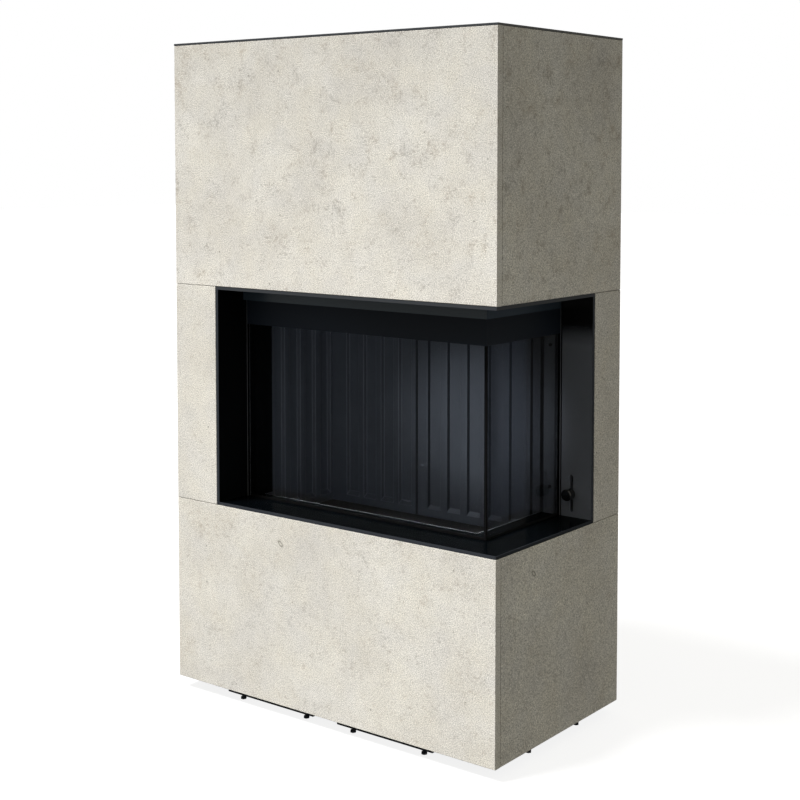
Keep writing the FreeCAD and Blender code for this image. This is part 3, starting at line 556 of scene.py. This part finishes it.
def sintered_stone(slab, shift, drift_share, coarse, foot_shade, top_shade, mark, tilt):
    """A slab's finish, cut from its own place in the sheet, more or less drifted and coarse, and darkened
    from foot to top as given.
    """
    material, tree, shader, whole = start_material("stone_of_" + slab)
    low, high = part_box(slab)
    place = add(tree, "Mapping", {"Vector": whole, "Location": shift}).outputs["Vector"]
    cloud = add(tree, "TexNoise", {"Vector": place, "Scale": 1 / stone_cloud, "Detail": 4}).outputs["Fac"]
    cloud = add(tree, "MapRange", {"Value": cloud, "From Min": 0.3, "From Max": 0.7}).outputs["Result"]
    colour = add(
        tree, "Mix", {"Factor": cloud, "A": linear("#d2cec7"), "B": linear("#e3e0d9")}, data_type="RGBA"
    ).outputs["Result"]
    hue = add(tree, "TexNoise", {"Vector": place, "Scale": 1 / stone_hue, "Detail": 4}).outputs["Fac"]
    hue = add(tree, "MapRange", {"Value": hue, "From Min": 0.35, "From Max": 0.65}).outputs["Result"]
    tint = add(
        tree, "Mix", {"Factor": hue, "A": linear("#fdfcf9"), "B": linear("#fbfbfc")}, data_type="RGBA"
    ).outputs["Result"]
    colour = add(
        tree, "Mix", {"Factor": 1.0, "A": colour, "B": tint}, data_type="RGBA", blend_type="MULTIPLY"
    ).outputs["Result"]
    grain = add(tree, "TexNoise", {
        "Vector": place, "Scale": 1 / (stone_grain * coarse), "Detail": 2, "Roughness": 0.7}).outputs["Fac"]
    shade = add(
        tree, "MapRange", {
            "Value": grain, "From Min": 0.3, "From Max": 0.7,
            "To Min": 1 - grain_depth, "To Max": 1 + grain_depth},
        clamp=False).outputs["Result"]
    colour = add(
        tree, "Mix", {"Factor": 1.0, "A": colour, "B": shade}, data_type="RGBA", blend_type="MULTIPLY"
    ).outputs["Result"]
    # Painted shade: the upper tier darkens from its foot to its top; the other tiers take a flat tone.
    rise = add(tree, "SeparateXYZ", {"Vector": whole}).outputs["Z"]
    shade = add(tree, "MapRange", {
        "Value": rise, "From Min": low.z, "From Max": high.z,
        "To Min": foot_shade, "To Max": top_shade}).outputs["Result"]
    colour = add(
        tree, "Mix", {"Factor": 1.0, "A": colour, "B": shade}, data_type="RGBA", blend_type="MULTIPLY"
    ).outputs["Result"]
    mottle = add(tree, "TexNoise", {
        "Vector": place, "Scale": 1 / stone_mottle, "Detail": 8, "Roughness": 0.8,
        "Distortion": 0.3}).outputs["Fac"]
    shade = add(
        tree, "MapRange", {
            "Value": mottle, "From Min": 0.35, "From Max": 0.65,
            "To Min": 1 - mottle_depth, "To Max": 1 + mottle_depth},
        clamp=False).outputs["Result"]
    colour = add(
        tree, "Mix", {"Factor": 1.0, "A": colour, "B": shade}, data_type="RGBA", blend_type="MULTIPLY"
    ).outputs["Result"]
    drift = add(tree, "TexNoise", {
        "Vector": place, "Scale": 1 / stone_drift, "Detail": 6, "Roughness": 0.75,
        "Distortion": 0.5}).outputs["Fac"]
    drift = add(tree, "MapRange", {
        "Value": drift, "From Min": 0.48, "From Max": 0.72,
        "To Max": drift_share * coarse}).outputs["Result"]
    fleck = add(tree, "TexNoise", {
        "Vector": place, "Scale": 1 / stone_fleck, "Detail": 6, "Roughness": 0.9}).outputs["Fac"]
    fleck = add(tree, "Math", {0: fleck, 1: drift}, operation="ADD").outputs["Value"]
    fleck = add(tree, "MapRange", {
        "Value": fleck, "From Min": 0.55, "From Max": 0.68, "To Max": 0.62}).outputs["Result"]
    sand = add(
        tree, "Mix", {"Factor": hue, "A": linear("#9a8a7a"), "B": linear("#87827b")}, data_type="RGBA"
    ).outputs["Result"]
    colour = add(tree, "Mix", {"Factor": fleck, "A": colour, "B": sand}, data_type="RGBA").outputs["Result"]
    pins = add(tree, "TexVoronoi", {"Vector": place, "Scale": 1 / pin_spacing})
    rare = add(tree, "SeparateColor", {"Color": pins.outputs["Color"]}).outputs["Red"]
    rare = add(tree, "Math", {0: rare, 1: pins_left_out}, operation="GREATER_THAN").outputs["Value"]
    hole = add(tree, "MapRange", {
        "Value": pins.outputs["Distance"], "From Min": 0.05, "From Max": 0.1, "To Min": 0.6, "To Max": 0.0})
    hole = add(tree, "Math", {0: hole.outputs["Result"], 1: rare}, operation="MULTIPLY").outputs["Value"]
    beside = add(
        tree, "Mapping", {
            "Vector": whole, "Location": mark, "Rotation": tilt, "Scale": (1, 1, ring_stretch)},
        vector_type="TEXTURE").outputs["Vector"]
    away = add(tree, "VectorMath", {0: beside}, operation="LENGTH").outputs["Value"]
    away = add(tree, "Math", {0: away, 1: ring_radius}, operation="SUBTRACT").outputs["Value"]
    away = add(tree, "Math", {0: away}, operation="ABSOLUTE").outputs["Value"]
    ring = add(tree, "MapRange", {"Value": away, "From Max": ring_width, "To Min": 0.8, "To Max": 0.0})
    hole = add(tree, "Math", {0: hole, 1: ring.outputs["Result"]}, operation="MAXIMUM").outputs["Value"]
    pitted = add(tree, "Mix", {"Factor": hole, "A": colour, "B": linear("#6f6a5e")}, data_type="RGBA")
    tree.links.new(pitted.outputs["Result"], shader.inputs["Base Color"])
    shader.inputs["Roughness"].default_value = 0.8
    bump = add(tree, "Bump", {"Height": grain, "Strength": 0.15, "Distance": 0.4 * mm})
    tree.links.new(bump.outputs["Normal"], shader.inputs["Normal"])
    return material


# Each tier's place in the sheet, its drifts' strength, and its shade at foot and top; the upper tier's fall
# towards its top is painted shade.
cuts = {
    "upper": ((0.0, 0.0, 0.0), 0.16, 1.01, 0.87),
    "middle": ((1.3, 0.4, 0.2), 0.08, 0.96, 0.96),
    "lower": ((0.7, 2.1, 1.1), 0.1, 0.96, 0.96),
}
lean = math.radians(48)
marks = {
    "slab_lower_front": ((-140 * mm, cad_low.y, 438 * mm), (0, -lean, 0)),
    "slab_lower_right": ((cad_high.x, -118 * mm, 440 * mm), (lean, 0, 0)),
}
unmarked = ((0, 0, -1), (0, 0, 0))
for tier, (shift, drift_share, foot_shade, top_shade) in cuts.items():
    for side, coarse in (("front", 1.0), ("right", 1.3), ("left", 1.0)):
        name = "slab_" + tier + "_" + side
        mark, tilt = marks.get(name, unmarked)
        stone = sintered_stone(name, shift, drift_share, coarse, foot_shade, top_shade, mark, tilt)
        finish_nodes(stone, "slab_stone", name)
        soften(name, slab_round)

# Studio: a pale paper floor, a white surround, one large soft lamp at the front left and two small
# soft-edged lamps that shine through the panes. The paper glows, apart from what lies under the object.
floor_half = 30
paper_cloud = 25 * mm
floor_glow = 0.86
front_strip = 150 * mm
beam_radius = 60 * mm
floor_mesh = bpy.data.meshes.new("floor")
shape = bmesh.new()
bmesh.ops.create_grid(shape, x_segments=1, y_segments=1, size=floor_half)
shape.to_mesh(floor_mesh)
shape.free()
floor = bpy.data.objects.new("floor", floor_mesh)
bpy.context.scene.collection.objects.link(floor)
floor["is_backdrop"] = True
paper, tree, shader, place = start_material("white_floor_paper")
fibre = add(tree, "TexNoise", {"Vector": place, "Scale": 1 / paper_cloud, "Detail": 2}).outputs["Fac"]
colour = add(
    tree, "Mix", {"Factor": fibre, "A": linear("#6c6c6c"), "B": linear("#747474")}, data_type="RGBA")
tree.links.new(colour.outputs["Result"], shader.inputs["Base Color"])
shader.inputs["Roughness"].default_value = 0.9
shader.inputs["Emission Color"].default_value = linear("#ffffff")
middle = (cad_low + cad_high) / 2
half = (cad_high - cad_low) / 2
spot = add(tree, "SeparateXYZ", {"Vector": place})
across = add(tree, "Math", {0: spot.outputs["X"], 1: middle.x}, operation="SUBTRACT").outputs["Value"]
across = add(tree, "Math", {0: across}, operation="ABSOLUTE").outputs["Value"]
across = add(tree, "Math", {0: across, 1: half.x - front_strip}, operation="LESS_THAN").outputs["Value"]
along = add(
    tree, "Math", {0: spot.outputs["Y"], 1: middle.y + front_strip / 2}, operation="SUBTRACT"
).outputs["Value"]
along = add(tree, "Math", {0: along}, operation="ABSOLUTE").outputs["Value"]
along = add(tree, "Math", {0: along, 1: half.y - front_strip / 2}, operation="LESS_THAN").outputs["Value"]
under = add(tree, "Math", {0: across, 1: along}, operation="MULTIPLY").outputs["Value"]
shown = add(tree, "MapRange", {"Value": under, "To Min": floor_glow, "To Max": 0.0}).outputs["Result"]
tree.links.new(shown, shader.inputs["Emission Strength"])
floor_mesh.materials.append(paper)
floor.visible_diffuse = False
floor.visible_glossy = False
floor.visible_transmission = False

sun = bpy.data.lights.new("key_lamp", "SUN")
sun.energy = 5.9
sun.angle = math.radians(16)
key = bpy.data.objects.new("key_lamp", sun)
key.rotation_euler = Vector((0.29, 0.43, -0.86)).to_track_quat("-Z", "Y").to_euler()
key.visible_transmission = False
bpy.context.scene.collection.objects.link(key)

# The small lamps' watts, stand, aim and cone in degrees.
inside_beams = {
    "near_beam": (222, (1.35, -1.7, 0.9), (0.165, 0.15, 0.72), 12.4),
    "far_beam": (29, (0.75, -1.9, 0.8), (-0.24, 0.1, 0.76), 18),
}
for name, (energy, stand, target, cone) in inside_beams.items():
    beam = bpy.data.lights.new(name, "SPOT")
    beam.energy = energy
    beam.spot_size = math.radians(cone)
    beam.spot_blend = 1.0
    beam.shadow_soft_size = beam_radius
    lamp = bpy.data.objects.new(name, beam)
    lamp.location = stand
    lamp.rotation_euler = (Vector(target) - Vector(stand)).to_track_quat("-Z", "Y").to_euler()
    lamp.visible_camera = False
    lamp.visible_glossy = False
    lamp.visible_transmission = False
    bpy.context.scene.collection.objects.link(lamp)

# The surround is pale above a level line and dim below it, and the line is higher behind the object.
dim_below = -0.143
pale_above = -0.127
away = (0.56, 0.83, 0)
line_lift = 0.1
world = bpy.data.worlds.new("studio")
world.use_nodes = True
tree = world.node_tree
background = tree.nodes["Background"]
towards = add(tree, "TexCoord", {}).outputs["Generated"]
across = add(tree, "VectorMath", {0: towards}, operation="ABSOLUTE").outputs["Vector"]
across = add(tree, "SeparateXYZ", {"Vector": across})
widest = add(
    tree, "Math", {0: across.outputs["X"], 1: across.outputs["Y"]}, operation="MAXIMUM").outputs["Value"]
rise = add(tree, "SeparateXYZ", {"Vector": towards}).outputs["Z"]
slope = add(tree, "Math", {0: rise, 1: widest}, operation="DIVIDE").outputs["Value"]
behind = add(tree, "VectorMath", {0: towards, 1: away}, operation="DOT_PRODUCT").outputs["Value"]
raised = add(tree, "MapRange", {"Value": behind, "From Max": 0.5, "To Max": line_lift}).outputs["Result"]
slope = add(tree, "Math", {0: slope, 1: raised}, operation="SUBTRACT").outputs["Value"]
height = add(
    tree, "MapRange", {"Value": slope, "From Min": dim_below, "From Max": pale_above},
    interpolation_type="SMOOTHSTEP").outputs["Result"]
surround = add(
    tree, "Mix", {"Factor": height, "A": linear("#40454e"), "B": linear("#bab7aa")}, data_type="RGBA"
).outputs["Result"]
seen = add(tree, "LightPath", {}).outputs["Is Camera Ray"]
shown = add(tree, "Mix", {"Factor": seen, "A": surround, "B": linear("#ffffff")}, data_type="RGBA")
tree.links.new(shown.outputs["Result"], background.inputs["Color"])
bpy.context.scene.world = world
bpy.context.scene.view_settings.view_transform = "Standard"

# Camera: at the height of a standing viewer, turned to the corner between the glazed faces.
# It looks slightly down and the frame is dropped, which keeps uprights nearly parallel.
view = bpy.data.cameras.new("camera")
view.lens = 66.584
view.sensor_width = 36
view.shift_y = -0.19
camera = bpy.data.objects.new("camera", view)
camera.location = (2.29615, -2.93966, 1.38838)
camera.rotation_euler = (math.pi / 2 - 0.0608, 0, 0.65838)
bpy.context.scene.collection.objects.link(camera)
bpy.context.scene.camera = camera

low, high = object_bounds()
